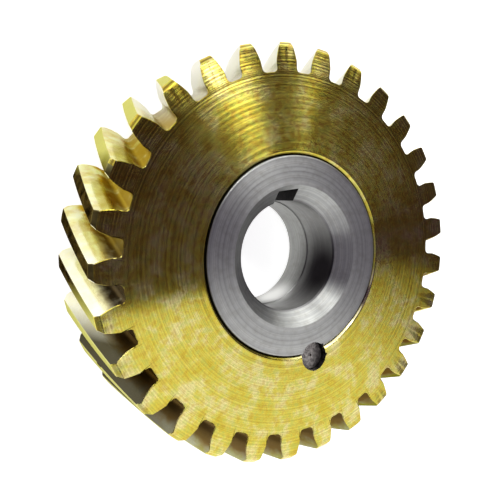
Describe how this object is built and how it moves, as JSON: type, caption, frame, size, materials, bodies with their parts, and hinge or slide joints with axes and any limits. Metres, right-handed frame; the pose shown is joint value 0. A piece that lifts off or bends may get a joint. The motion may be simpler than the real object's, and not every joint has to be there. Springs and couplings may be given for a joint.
{
  "type": "worm wheel",
  "caption": "Bronze worm wheel with helical teeth, pinned on a steel hub that has a keyed bore with countersunk mouths.",
  "frame": {"origin": "centre of the wheel's back face, on the bore's axis, with the wheel lying flat on that face", "axes": "+Z along the bore's axis out of the front face, +Y through the middle of the keyway"},
  "size_m": [0.1124, 0.1124, 0.0302],
  "materials": {
    "rim_bronze": "turned and hobbed",
    "hub_steel": "turned",
    "pin_steel": "sheared, dull"
  },
  "bodies": {
    "root": {"toothed_rim": "rim_bronze", "hub": "hub_steel", "lock_pin": "pin_steel"}
  },
  "joints": []
}
